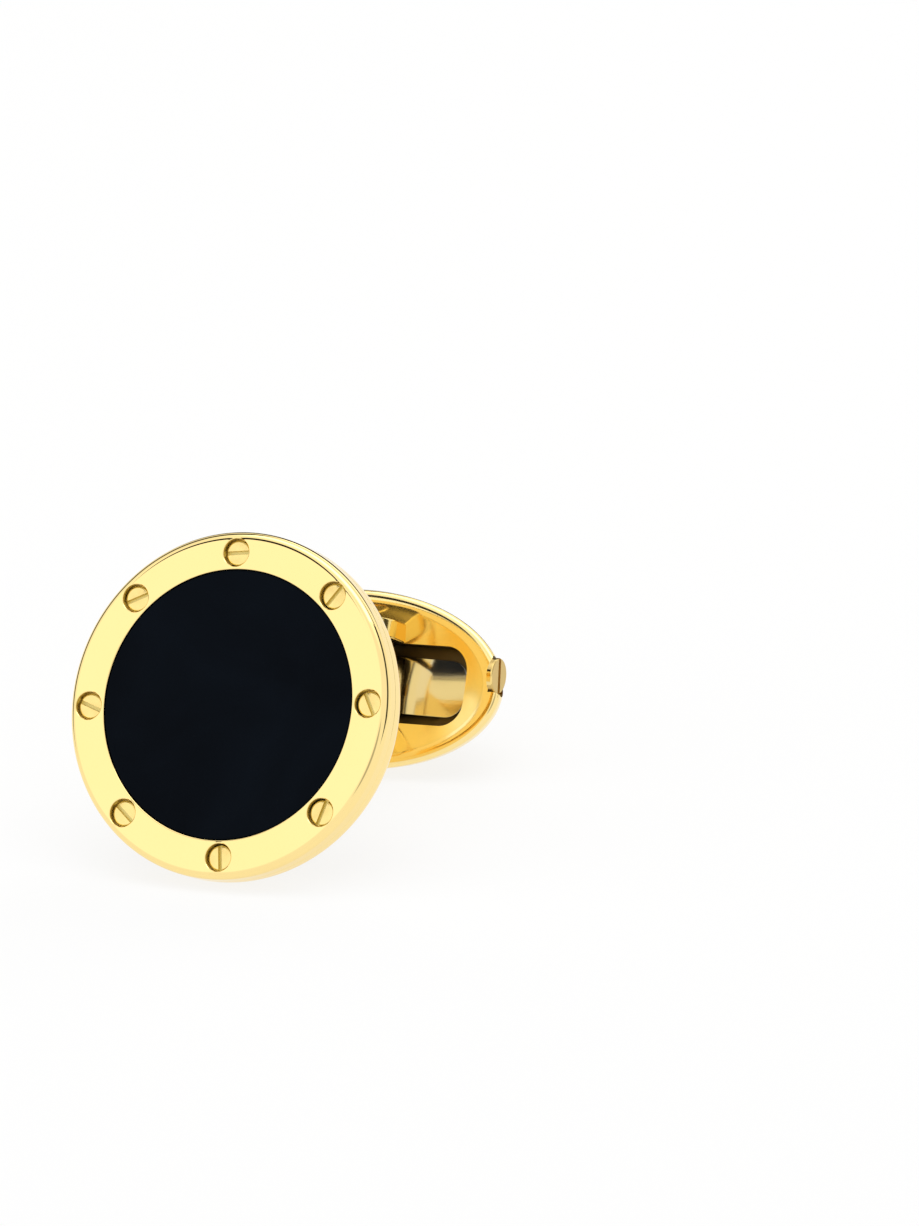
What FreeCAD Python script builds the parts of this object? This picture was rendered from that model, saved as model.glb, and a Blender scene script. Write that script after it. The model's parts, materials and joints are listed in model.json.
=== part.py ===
import FreeCAD, Part
import math
import os
import Sketcher
from FreeCAD import Placement, Rotation, Vector

# A round cufflink with a screwed bezel over a flat black stone, a swan-neck post
# and an oval toggle that flips on a pin and is held by a leaf spring.
#
# The pieces are drawn face down on a bench: z = 0 is the plane of the bezel's
# front, +z runs back to the toggle, x runs along the toggle and +y points to six
# o'clock on the face.  The toggle's own pieces are drawn about the middle of its
# rim plane.  At the end everything is turned to lie on its rim and its toggle, as
# a cufflink lies on a table, with +Z up and the face looking towards -Y.

# Driving dimensions in millimetres (angles in degrees): name, value, what it is.
SIZES = (
    # Head
    ("head_radius", 8.5, "outside of the bezel ring and the case back"),
    ("bezel_depth", 0.95, "bezel ring, front to back"),
    ("case_depth", 1.45, "case back, front to back"),
    ("front_round", 0.3, "round on the bezel's outer front edge"),
    ("back_round", 1.1, "round on the case's outer back edge"),
    ("window_bevel", 0.06, "bevel round the stone's opening"),
    ("lip_depth", 0.45, "bezel lip that holds the stone's flange"),
    ("flange_reach", 0.3, "how far the flange runs under the lip"),
    ("setting_gap", 0.03, "between the stone and the metal round it"),
    ("stone_recess", 0.05, "stone's front below the bezel's front"),
    ("stone_bevel", 0.08, "bevel on the stone's front edge"),
    ("floor_depth", 0.75, "case floor behind the stone"),
    ("bed_depth", 0.12, "setting cement between stone and floor"),
    # Bezel screws
    ("screw_count", 8, "screws round the bezel"),
    ("screw_edge", 0.36, "bezel outside the counterbores"),
    ("screw_wall", 0.14, "bezel between the counterbores and the stone"),
    ("screw_turn", -4.8, "turn of the ring of screws, towards twelve o'clock"),
    ("screw_head_radius", 0.63, "screw head"),
    ("screw_head_depth", 0.35, "screw head, front to back"),
    ("screw_head_bevel", 0.1, "bevel on the head"),
    ("screw_head_gap", 0.06, "between a head and its counterbore"),
    ("screw_recess", 0.25, "heads below the bezel's front"),
    ("screw_slot_width", 0.2, "driver slot"),
    ("screw_slot_depth", 0.17, "driver slot"),
    ("screw_shank_radius", 0.35, "screw shank"),
    ("screw_shank_length", 1.1, "screw shank"),
    ("screw_shank_gap", 0.05, "round the shank in the bezel and below its end"),
    # Post
    ("spigot_radius", 1.1, "end of the post that is riveted in the case floor"),
    ("foot_radius", 1.5, "round foot on the case"),
    ("foot_height", 0.7, "round foot on the case"),
    ("collar_radius", 2.3, "collar round the foot"),
    ("collar_height", 0.45, "collar round the foot"),
    ("collar_round", 0.25, "round on the collar's outer edge"),
    ("neck_thickness", 1.6, "post along the toggle"),
    ("neck_width", 2.6, "post across the toggle"),
    ("neck_round", 0.6, "rounded long edges of the post"),
    ("toggle_crank", 3.43, "how far the post carries the toggle towards twelve o'clock"),
    ("toggle_reach", 13.83, "bezel's front plane to the toggle's rim plane"),
    ("pivot_height", 1.0, "pin above the toggle's rim plane"),
    ("knuckle_width", 3.6, "square knuckle on the post, along the pin"),
    ("knuckle_half", 2.05, "pin to each flat of the knuckle"),
    ("knuckle_round", 1.6, "rounded corners of the knuckle"),
    # Toggle
    ("toggle_half_length", 7.87, "oval of the toggle's rim"),
    ("toggle_half_width", 4.5, "oval of the toggle's rim, and the depth of its turned hull"),
    ("rim_width", 0.65, "shell round the deck, along the sides"),
    ("rim_end_width", 0.92, "shell round the deck, at the ends"),
    ("rim_bevel", 0.2, "bevel on the rim's outer edge, across the rim"),
    ("rim_bevel_depth", 0.26, "bevel on the rim's outer edge, down the side"),
    ("rim_land", 0.55, "rim between its outer edge and the hollow, along the sides"),
    ("rim_end_land", 0.47, "rim between its outer edge and the hollow, at the ends"),
    ("deck_gap", 0.02, "seam between the shell and the deck"),
    ("deck_depth", 1.0, "rim plane to the deck's underside"),
    ("deck_ledge", 0.65, "ledge in the shell that the deck sits on"),
    ("dish_depth", 0.7, "hollow over the deck and the shell's edge"),
    ("well_depth", 2.0, "rim plane to the floor of the well under the spring"),
    ("slot_end", 1.05, "deck between the slot's ends and the seam"),
    ("slot_gap", 0.2, "between the knuckle and each side of the slot"),
    ("slot_round", 1.2, "corners of the slot"),
    ("lug_thickness", 0.95, "lugs beside the slot"),
    ("lug_half_length", 2.25, "lugs along the slot"),
    ("lug_cap", 1.25, "lugs above the middle of the pin"),
    ("lug_round", 1.6, "round top corners of the lugs"),
    ("pin_radius", 0.5, "pivot pin"),
    ("pin_bevel", 0.1, "bevelled ends of the pin"),
    ("pin_gap", 0.03, "running fit between the pin and the knuckle"),
    # Leaf spring
    ("spring_half_width", 1.45, "leaf spring under the knuckle"),
    ("spring_depth", 0.3, "leaf spring"),
    ("spring_round", 1.0, "corners of the leaf spring"),
    ("spring_gap", 0.23, "room for the knuckle's corners to pass"),
    ("spring_end_gap", 0.4, "between the spring's ends and the slot's ends"),
    ("spring_bearing", 0.8, "spring resting on the shell at each end"),
    # End screws
    ("end_wall", 0.3, "shell between the deck and the end screws' flat seats"),
    ("end_drop", 0.58, "end screws below the rim plane"),
    ("end_lift", 0.75, "end screws off the toggle's middle, towards twelve o'clock"),
    ("end_head_radius", 0.9, "end screw head"),
    ("end_head_depth", 0.3, "end screw head"),
    ("end_head_bevel", 0.1, "bevel on the head"),
    ("end_slot_width", 0.26, "driver slot"),
    ("end_slot_depth", 0.18, "driver slot"),
    ("end_slot_turn", 12, "driver slot, from straight across the toggle"),
    ("end_seat_gap", 0.12, "round the head on its seat"),
    ("end_shank_radius", 0.22, "end screw shank"),
    ("end_shank_length", 0.9, "end screw shank"),
    ("end_shank_gap", 0.04, "round the shank in the shell and below its end"),
    # Cuts run past the solid by this much
    ("overrun", 1.0, "cuts past the faces that they go through"),
)

# Driver slots of the bezel screws as they were left, clockwise from twelve
# o'clock, in degrees from the toggle's length.
SLOT_TURNS = (-7, -55, 60, -75, 81, 39, 18, -26)

# Places that follow from the sizes, as expressions on the bench.
BORE_RADIUS = "(Sizes.screw_head_radius + Sizes.screw_head_gap)"
SCREW_CIRCLE = f"(Sizes.head_radius - Sizes.screw_edge - {BORE_RADIUS})"
WINDOW = f"({SCREW_CIRCLE} - {BORE_RADIUS} - Sizes.screw_wall)"
HEAD_DEPTH = "(Sizes.bezel_depth + Sizes.case_depth)"
FLOOR = f"({HEAD_DEPTH} - Sizes.floor_depth)"
STONE_BACK = f"({FLOOR} - Sizes.bed_depth)"
POCKET_RADIUS = f"({WINDOW} + Sizes.flange_reach + Sizes.setting_gap)"
FLANGE_RADIUS = f"({WINDOW} + Sizes.flange_reach)"
COUNTERBORE = "(Sizes.screw_recess + Sizes.screw_head_depth)"
SHANK_END = f"({COUNTERBORE} + Sizes.screw_shank_length)"
PIVOT = "(Sizes.toggle_reach - Sizes.pivot_height)"
BEND_START = f"({HEAD_DEPTH} + Sizes.foot_height)"
BEND_END = f"({PIVOT} - Sizes.lug_half_length)"

# Places on the toggle, from the middle of its rim plane.
DECK_HALF_LENGTH = "(Sizes.toggle_half_length - Sizes.rim_end_width)"
DECK_HALF_WIDTH = "(Sizes.toggle_half_width - Sizes.rim_width)"
BEVEL_DROP = "((Sizes.toggle_half_width - Sizes.rim_bevel / 2) * Sizes.rim_bevel / Sizes.rim_bevel_depth)"
BEVEL_RADIUS = f"sqrt((Sizes.toggle_half_width - Sizes.rim_bevel)^2 + {BEVEL_DROP}^2)"
DISH_HALF_LENGTH = "(Sizes.toggle_half_length - Sizes.rim_end_land)"
DISH_HALF_WIDTH = "(Sizes.toggle_half_width - Sizes.rim_land)"
DISH_RADIUS = f"(({DISH_HALF_WIDTH}^2 + Sizes.dish_depth^2) / (2 * Sizes.dish_depth))"
SLOT_HALF_LENGTH = f"({DECK_HALF_LENGTH} - Sizes.slot_end)"
SLOT_HALF_WIDTH = "(Sizes.knuckle_width / 2 + Sizes.slot_gap)"
LUG_OUTSIDE = f"({SLOT_HALF_WIDTH} + Sizes.lug_thickness)"
LUG_TOP = "(-Sizes.pivot_height - Sizes.lug_cap)"
SPRING_TOP = "(Sizes.knuckle_half - Sizes.pivot_height + Sizes.spring_gap)"
SPRING_HALF_LENGTH = f"({SLOT_HALF_LENGTH} - Sizes.spring_end_gap)"
END_SEAT = f"({DECK_HALF_LENGTH} + Sizes.end_wall)"

# Ends and middle of a sketch line or arc, and the sketch's own origin.
START, END, CENTRE = 1, 2, 3
ORIGIN = -1

doc = FreeCAD.newDocument("Cufflink")
sheet = doc.addObject("Spreadsheet::Sheet", "Sizes")
for line, (alias, value, note) in enumerate(SIZES, start=1):
    sheet.set(f"A{line}", note)
    sheet.set(f"B{line}", str(value))
    sheet.setAlias(f"B{line}", alias)
doc.recompute()


def number(expression):
    return float(sheet.evalExpression(expression))


# Sketches

def new_body(label):
    body = doc.addObject("PartDesign::Body", label)
    body.Label = label
    return body


def new_sketch(body, name, role, shift=("0", "0", "0")):
    sketch = body.newObject("Sketcher::SketchObject", name)
    plane = next(item for item in body.Origin.OriginFeatures if item.Role == role)
    sketch.AttachmentSupport = (plane, [""])
    sketch.MapMode = "FlatFace"
    for axis, expression in zip("xyz", shift):
        sketch.setExpression(f"AttachmentOffset.Base.{axis}", expression)
    return sketch


def bind(sketch, expression, kind, *elements):
    index = sketch.addConstraint(Sketcher.Constraint(kind, *elements, number(expression)))
    sketch.setExpression(f"Constraints[{index}]", expression)


def tie(sketch, kind, *elements):
    sketch.addConstraint(Sketcher.Constraint(kind, *elements))


def polygon(sketch, corners):
    spots = [Vector(number(across), number(up), 0) for across, up in corners]
    for here, there in zip(spots, spots[1:] + spots[:1]):
        sketch.addGeometry(Part.LineSegment(here, there))
    for side, (across, up) in enumerate(corners):
        tie(sketch, "Coincident", side, END, (side + 1) % len(corners), START)
        bind(sketch, across, "DistanceX", ORIGIN, START, side, START)
        bind(sketch, up, "DistanceY", ORIGIN, START, side, START)


def circle(sketch, radius, across="0", up="0"):
    centre = Vector(number(across), number(up), 0)
    ring = sketch.addGeometry(Part.Circle(centre, Vector(0, 0, 1), number(radius)))
    bind(sketch, radius, "Radius", ring)
    bind(sketch, across, "DistanceX", ORIGIN, START, ring, CENTRE)
    bind(sketch, up, "DistanceY", ORIGIN, START, ring, CENTRE)


def ellipse(sketch, half_length, half_width):
    long_end = Vector(number(half_length), 0, 0)
    short_end = Vector(0, number(half_width), 0)
    oval = sketch.addGeometry(Part.Ellipse(long_end, short_end, Vector()))
    bind_axes(sketch, oval, half_length, half_width)


def half_ellipse(sketch, half_length, half_width):
    # The half above the sketch's level axis, closed along that axis.
    long_end = Vector(number(half_length), 0, 0)
    short_end = Vector(0, number(half_width), 0)
    whole = Part.Ellipse(long_end, short_end, Vector())
    bow = sketch.addGeometry(Part.ArcOfEllipse(whole, 0, math.pi))
    chord = sketch.addGeometry(Part.LineSegment(-long_end, long_end))
    tie(sketch, "Coincident", bow, END, chord, START)
    tie(sketch, "Coincident", chord, END, bow, START)
    tie(sketch, "PointOnObject", chord, START, ORIGIN)
    tie(sketch, "PointOnObject", chord, END, ORIGIN)
    bind_axes(sketch, bow, half_length, half_width)


def round_half_ellipse(sketch, half_length, half_width):
    # All that lies outside such a half, out to a box round it.
    near, tall = number(half_length), number(half_width)
    far, high = number(f"{half_length} + Sizes.overrun"), number(f"{half_width} + Sizes.overrun")
    whole = Part.Ellipse(Vector(near, 0, 0), Vector(0, tall, 0), Vector())
    bow = sketch.addGeometry(Part.ArcOfEllipse(whole, 0, math.pi))
    path = ((near, 0), (far, 0), (far, high), (-far, high), (-far, 0), (-near, 0))
    corners = [Vector(*spot, 0) for spot in path]
    lines = [sketch.addGeometry(Part.LineSegment(*pair)) for pair in zip(corners, corners[1:])]
    for first, second in zip(lines, lines[1:]):
        tie(sketch, "Coincident", first, END, second, START)
    tie(sketch, "Coincident", bow, START, lines[0], START)
    tie(sketch, "Coincident", bow, END, lines[-1], END)
    for line, way in zip(lines, ("Horizontal", "Vertical", "Horizontal", "Vertical", "Horizontal")):
        tie(sketch, way, line)
    bind(sketch, f"{half_length} + Sizes.overrun", "DistanceX", ORIGIN, START, lines[0], END)
    bind(sketch, f"-({half_length} + Sizes.overrun)", "DistanceX", ORIGIN, START, lines[-1], START)
    bind(sketch, f"{half_width} + Sizes.overrun", "DistanceY", ORIGIN, START, lines[2], START)
    tie(sketch, "PointOnObject", lines[0], START, ORIGIN)
    tie(sketch, "PointOnObject", lines[-1], END, ORIGIN)
    bind_axes(sketch, bow, half_length, half_width)


def bind_axes(sketch, oval, half_length, half_width):
    long_axis = sketch.GeometryCount
    short_axis = long_axis + 1
    sketch.exposeInternalGeometry(oval)
    tie(sketch, "Coincident", oval, CENTRE, ORIGIN, START)
    tie(sketch, "Horizontal", long_axis)
    bind(sketch, f"2 * ({half_length})", "Distance", long_axis)
    bind(sketch, f"2 * ({half_width})", "Distance", short_axis)


def round_box(sketch, half_length, half_width, corner):
    # Sides and corners in turn, from the lower side anticlockwise.
    length, width, radius = (number(item) for item in (half_length, half_width, corner))
    inner = (length - radius, width - radius)
    signs = ((1, -1), (1, 1), (-1, 1), (-1, -1))
    centres = [Vector(right * inner[0], up * inner[1], 0) for right, up in signs]
    outward = (Vector(0, -radius, 0), Vector(radius, 0, 0), Vector(0, radius, 0), Vector(-radius, 0, 0))
    for turn, centre in enumerate(centres):
        start = centres[turn - 1] + outward[turn]
        sketch.addGeometry(Part.LineSegment(start, centre + outward[turn]))
        ring = Part.Circle(centre, Vector(0, 0, 1), radius)
        quarter = (turn - 1) * math.pi / 2
        sketch.addGeometry(Part.ArcOfCircle(ring, quarter, quarter + math.pi / 2))
    lower, first_corner, right, _, upper, opposite_corner, left, _ = range(8)
    for piece in range(8):
        tie(sketch, "Tangent", piece, END, (piece + 1) % 8, START)
    for side, kind in ((lower, "Horizontal"), (right, "Vertical"), (upper, "Horizontal"), (left, "Vertical")):
        tie(sketch, kind, side)
    for other in (3, opposite_corner, 7):
        tie(sketch, "Equal", first_corner, other)
    tie(sketch, "Symmetric", first_corner, CENTRE, opposite_corner, CENTRE, ORIGIN, START)
    bind(sketch, corner, "Radius", first_corner)
    bind(sketch, f"2 * ({half_length})", "DistanceX", left, START, right, START)
    bind(sketch, f"2 * ({half_width})", "DistanceY", lower, START, upper, START)


# Features

def revolve(body, name, sketch, axis="V_Axis", kind="Revolution"):
    turn = body.newObject(f"PartDesign::{kind}", name)
    turn.Profile = sketch
    turn.ReferenceAxis = (sketch, [axis])
    turn.Angle = 360
    doc.recompute()
    return turn


def extrude(body, name, sketch, length, kind="Pad", symmetric=False, backwards=False):
    volume = body.Shape.Volume if body.Tip else 0
    block = body.newObject(f"PartDesign::{kind}", name)
    block.Profile = sketch
    block.setExpression("Length", length)
    block.SideType = "Symmetric" if symmetric else "One side"
    block.Reversed = backwards
    doc.recompute()
    grown = body.Shape.Volume - volume
    if grown * (1 if kind == "Pad" else -1) <= 0:
        raise RuntimeError(f"{body.Label}: {name} leaves the solid as it was")
    return block


def pattern(body, name, features, sketch):
    ring = body.newObject("PartDesign::PolarPattern", name)
    ring.Originals = features
    ring.Axis = (sketch, ["N_Axis"])
    ring.Angle = 360
    ring.setExpression("Occurrences", "Sizes.screw_count")
    body.Tip = ring
    doc.recompute()


def dress(body, name, kind, size, wanted):
    # Round or bevel the edges of the last feature that wanted() picks.
    base = body.Tip
    edges = [f"Edge{place}" for place, edge in enumerate(base.Shape.Edges, start=1) if wanted(edge)]
    if not edges:
        raise RuntimeError(f"{body.Label}: {name} finds no edge")
    trim = body.newObject(f"PartDesign::{kind}", name)
    trim.Base = (base, edges)
    trim.setExpression("Radius" if kind == "Fillet" else "Size", size)
    doc.recompute()


def on_ring(radius, level):
    # Picks the circle of this radius at this height round the z axis.
    def wanted(edge):
        round_edge = isinstance(edge.Curve, Part.Circle)
        return (round_edge and math.isclose(edge.Curve.Radius, number(radius), abs_tol=1e-6)
                and math.isclose(edge.Curve.Center.z, number(level), abs_tol=1e-6)
                and math.hypot(edge.Curve.Center.x, edge.Curve.Center.y) < 1e-6)
    return wanted


# Head

def make_bezel_ring():
    body = new_body("bezel_ring")
    section = new_sketch(body, "BezelSection", "XZ_Plane")
    polygon(section, (
        (WINDOW, "0"),
        ("Sizes.head_radius", "0"),
        ("Sizes.head_radius", "Sizes.bezel_depth"),
        (POCKET_RADIUS, "Sizes.bezel_depth"),
        (POCKET_RADIUS, "Sizes.lip_depth"),
        (WINDOW, "Sizes.lip_depth"),
    ))
    revolve(body, "BezelTurning", section)
    dress(body, "BezelRound", "Fillet", "Sizes.front_round", on_ring("Sizes.head_radius", "0"))
    dress(body, "WindowBevel", "Chamfer", "Sizes.window_bevel", on_ring(WINDOW, "0"))
    seat = new_sketch(body, "CounterboreSketch", "XY_Plane")
    circle(seat, BORE_RADIUS, SCREW_CIRCLE)
    counterbore = extrude(body, "Counterbore", seat, COUNTERBORE, "Pocket", backwards=True)
    hole = new_sketch(body, "ClearanceSketch", "XY_Plane")
    circle(hole, "Sizes.screw_shank_radius + Sizes.screw_shank_gap", SCREW_CIRCLE)
    depth = "Sizes.bezel_depth + Sizes.overrun"
    clearance = extrude(body, "Clearance", hole, depth, "Pocket", backwards=True)
    pattern(body, "ScrewSeats", [counterbore, clearance], seat)
    return body


def make_case_back():
    body = new_body("case_back")
    section = new_sketch(body, "CaseSection", "XZ_Plane")
    polygon(section, (
        ("Sizes.spigot_radius", FLOOR),
        (POCKET_RADIUS, FLOOR),
        (POCKET_RADIUS, "Sizes.bezel_depth"),
        ("Sizes.head_radius", "Sizes.bezel_depth"),
        ("Sizes.head_radius", HEAD_DEPTH),
        ("Sizes.spigot_radius", HEAD_DEPTH),
    ))
    revolve(body, "CaseTurning", section)
    dress(body, "CaseRound", "Fillet", "Sizes.back_round", on_ring("Sizes.head_radius", HEAD_DEPTH))
    hole = new_sketch(body, "TappingSketch", "XY_Plane", ("0", "0", "Sizes.bezel_depth"))
    circle(hole, "Sizes.screw_shank_radius", SCREW_CIRCLE)
    depth = f"{SHANK_END} + Sizes.screw_shank_gap - Sizes.bezel_depth"
    tapping = extrude(body, "Tapping", hole, depth, "Pocket", backwards=True)
    pattern(body, "Tappings", [tapping], hole)
    return body


def make_onyx_disc():
    body = new_body("onyx_disc")
    section = new_sketch(body, "StoneSection", "XZ_Plane")
    boss = f"{WINDOW} - Sizes.setting_gap"
    polygon(section, (
        ("0", "Sizes.stone_recess"),
        (boss, "Sizes.stone_recess"),
        (boss, "Sizes.lip_depth"),
        (FLANGE_RADIUS, "Sizes.lip_depth"),
        (FLANGE_RADIUS, STONE_BACK),
        ("0", STONE_BACK),
    ))
    revolve(body, "StoneCutting", section)
    dress(body, "StoneBevel", "Chamfer", "Sizes.stone_bevel", on_ring(boss, "Sizes.stone_recess"))
    return body


def make_onyx_bed():
    body = new_body("onyx_bed")
    outline = new_sketch(body, "BedOutline", "XY_Plane", ("0", "0", STONE_BACK))
    circle(outline, FLANGE_RADIUS)
    extrude(body, "Bed", outline, "Sizes.bed_depth")
    return body


def make_bezel_screw(label):
    body = new_body(label)
    section = new_sketch(body, "ScrewSection", "XZ_Plane")
    polygon(section, (
        ("0", "Sizes.screw_recess"),
        ("Sizes.screw_head_radius", "Sizes.screw_recess"),
        ("Sizes.screw_head_radius", COUNTERBORE),
        ("Sizes.screw_shank_radius", COUNTERBORE),
        ("Sizes.screw_shank_radius", SHANK_END),
        ("0", SHANK_END),
    ))
    revolve(body, "ScrewTurning", section)
    head_edge = on_ring("Sizes.screw_head_radius", "Sizes.screw_recess")
    dress(body, "ScrewBevel", "Chamfer", "Sizes.screw_head_bevel", head_edge)
    slot = new_sketch(body, "SlotSketch", "XY_Plane", ("0", "0", "Sizes.screw_recess"))
    cut_slot(body, slot, "Sizes.screw_head_radius", "Sizes.screw_slot_width", "Sizes.screw_slot_depth")
    return body


def cut_slot(body, sketch, head_radius, width, depth, backwards=True):
    reach = f"({head_radius} + Sizes.overrun)"
    polygon(sketch, (
        (f"-{reach}", f"-{width} / 2"),
        (reach, f"-{width} / 2"),
        (reach, f"{width} / 2"),
        (f"-{reach}", f"{width} / 2"),
    ))
    extrude(body, "DriverSlot", sketch, depth, "Pocket", backwards=backwards)


# Post

def make_swan_neck_post():
    body = new_body("swan_neck_post")
    foot = new_sketch(body, "FootOutline", "XY_Plane", ("0", "0", HEAD_DEPTH))
    circle(foot, "Sizes.foot_radius")
    extrude(body, "Foot", foot, "Sizes.foot_height")
    spigot = new_sketch(body, "SpigotOutline", "XY_Plane", ("0", "0", FLOOR))
    circle(spigot, "Sizes.spigot_radius")
    extrude(body, "Spigot", spigot, "Sizes.floor_depth")
    neck = new_sketch(body, "NeckSection", "XY_Plane", ("0", "0", HEAD_DEPTH))
    round_box(neck, "Sizes.neck_thickness / 2", "Sizes.neck_width / 2", "Sizes.neck_round")
    pipe = body.newObject("PartDesign::AdditivePipe", "Neck")
    pipe.Profile = neck
    pipe.Spine = neck_line(body)
    doc.recompute()
    at_pivot = ("0", PIVOT, "Sizes.toggle_crank")
    cam = new_sketch(body, "KnuckleOutline", "XZ_Plane", at_pivot)
    round_box(cam, "Sizes.knuckle_half", "Sizes.knuckle_half", "Sizes.knuckle_round")
    extrude(body, "Knuckle", cam, "Sizes.knuckle_width", symmetric=True)
    bore = new_sketch(body, "BoreSketch", "XZ_Plane", at_pivot)
    circle(bore, "Sizes.pin_radius + Sizes.pin_gap")
    extrude(body, "Bore", bore, "Sizes.knuckle_width + Sizes.overrun", "Pocket", symmetric=True)
    return body


def neck_line(body):
    # Up from the foot, over to the toggle's middle by two equal bends, up to the pin.
    sketch = new_sketch(body, "NeckLine", "YZ_Plane")
    crank = number("Sizes.toggle_crank")
    foot, low, high, top = (number(item) for item in (HEAD_DEPTH, BEND_START, BEND_END, PIVOT))
    turn = 2 * math.atan(crank / (high - low))
    radius = (high - low) / (2 * math.sin(turn))
    first = Part.Circle(Vector(-radius, low, 0), Vector(0, 0, 1), radius)
    second = Part.Circle(Vector(radius - crank, high, 0), Vector(0, 0, 1), radius)
    stem = sketch.addGeometry(Part.LineSegment(Vector(0, foot, 0), Vector(0, low, 0)))
    out = sketch.addGeometry(Part.ArcOfCircle(first, 0, turn))
    back = sketch.addGeometry(Part.ArcOfCircle(second, math.pi, math.pi + turn))
    rise = sketch.addGeometry(Part.LineSegment(Vector(-crank, high, 0), Vector(-crank, top, 0)))
    tie(sketch, "Tangent", stem, END, out, START)
    tie(sketch, "Tangent", out, END, back, END)
    tie(sketch, "Tangent", back, START, rise, START)
    tie(sketch, "Equal", out, back)
    bind(sketch, "0", "DistanceX", ORIGIN, START, stem, START)
    bind(sketch, "0", "DistanceX", ORIGIN, START, stem, END)
    bind(sketch, HEAD_DEPTH, "DistanceY", ORIGIN, START, stem, START)
    bind(sketch, BEND_START, "DistanceY", ORIGIN, START, stem, END)
    bind(sketch, "-Sizes.toggle_crank", "DistanceX", ORIGIN, START, rise, START)
    bind(sketch, "-Sizes.toggle_crank", "DistanceX", ORIGIN, START, rise, END)
    bind(sketch, PIVOT, "DistanceY", ORIGIN, START, rise, END)
    bind(sketch, BEND_END, "DistanceY", ORIGIN, START, rise, START)
    return sketch


def make_post_collar():
    body = new_body("post_collar")
    section = new_sketch(body, "CollarSection", "XZ_Plane")
    top = f"{HEAD_DEPTH} + Sizes.collar_height"
    polygon(section, (
        ("Sizes.foot_radius", HEAD_DEPTH),
        ("Sizes.collar_radius", HEAD_DEPTH),
        ("Sizes.collar_radius", top),
        ("Sizes.foot_radius", top),
    ))
    revolve(body, "CollarTurning", section)
    dress(body, "CollarRound", "Fillet", "Sizes.collar_round", on_ring("Sizes.collar_radius", top))
    return body


# Toggle

def make_toggle_shell():
    body = new_body("toggle_shell")
    bow = new_sketch(body, "HullSection", "XZ_Plane")
    half_ellipse(bow, "Sizes.toggle_half_length", "Sizes.toggle_half_width")
    revolve(body, "Hull", bow, "H_Axis")
    top = new_sketch(body, "RimPlane", "XY_Plane")
    reach = "(Sizes.toggle_half_length + Sizes.overrun)"
    polygon(top, (
        (f"-{reach}", f"-{reach}"),
        (reach, f"-{reach}"),
        (reach, reach),
        (f"-{reach}", reach),
    ))
    extrude(body, "RimCut", top, reach, "Pocket")
    bevel = new_sketch(body, "BevelSection", "XZ_Plane", ("0", BEVEL_DROP, "0"))
    bevel_length = f"({BEVEL_RADIUS} * Sizes.toggle_half_length / Sizes.toggle_half_width)"
    round_half_ellipse(bevel, bevel_length, BEVEL_RADIUS)
    revolve(body, "RimBevel", bevel, "H_Axis", "Groove")
    for side, away in (("Left", "-"), ("Right", "")):
        flat = end_sketch(body, f"{side}SeatSketch", f"{away}{END_SEAT}")
        circle(flat, "Sizes.end_head_radius + Sizes.end_seat_gap")
        beyond = "Sizes.rim_end_width + Sizes.overrun"
        extrude(body, f"{side}Seat", flat, beyond, "Pocket", backwards=not away)
        hole = end_sketch(body, f"{side}HoleSketch", f"{away}{END_SEAT}")
        circle(hole, "Sizes.end_shank_radius + Sizes.end_shank_gap")
        extrude(body, f"{side}Hole", hole, "Sizes.end_shank_length", "Pocket", backwards=bool(away))
    seat = new_sketch(body, "DeckSeatOutline", "XY_Plane")
    ellipse(seat, DECK_HALF_LENGTH, DECK_HALF_WIDTH)
    extrude(body, "DeckSeat", seat, "Sizes.deck_depth", "Pocket", backwards=True)
    hollow = new_sketch(body, "CavityOutline", "XY_Plane")
    ellipse(hollow, f"{DECK_HALF_LENGTH} - Sizes.deck_ledge", f"{DECK_HALF_WIDTH} - Sizes.deck_ledge")
    extrude(body, "Cavity", hollow, f"{SPRING_TOP} + Sizes.spring_depth", "Pocket", backwards=True)
    well = new_sketch(body, "WellOutline", "XY_Plane")
    ellipse(well, f"{SPRING_HALF_LENGTH} - Sizes.spring_bearing", f"{DECK_HALF_WIDTH} - Sizes.deck_ledge")
    extrude(body, "SpringWell", well, "Sizes.well_depth", "Pocket", backwards=True)
    cut_dish(body)
    return body


def end_sketch(body, name, place):
    # Square to the toggle's length, on the end screws' line.
    return new_sketch(body, name, "YZ_Plane", ("-Sizes.end_lift", "Sizes.end_drop", place))


def cut_dish(body):
    # One hollow runs over the deck and the shell's inner edge.
    bowl = new_sketch(body, "DishSection", "XZ_Plane", ("0", f"Sizes.dish_depth - {DISH_RADIUS}", "0"))
    half_ellipse(bowl, f"({DISH_HALF_LENGTH} * {DISH_RADIUS} / {DISH_HALF_WIDTH})", DISH_RADIUS)
    revolve(body, "Dish", bowl, "H_Axis", "Groove")


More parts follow.
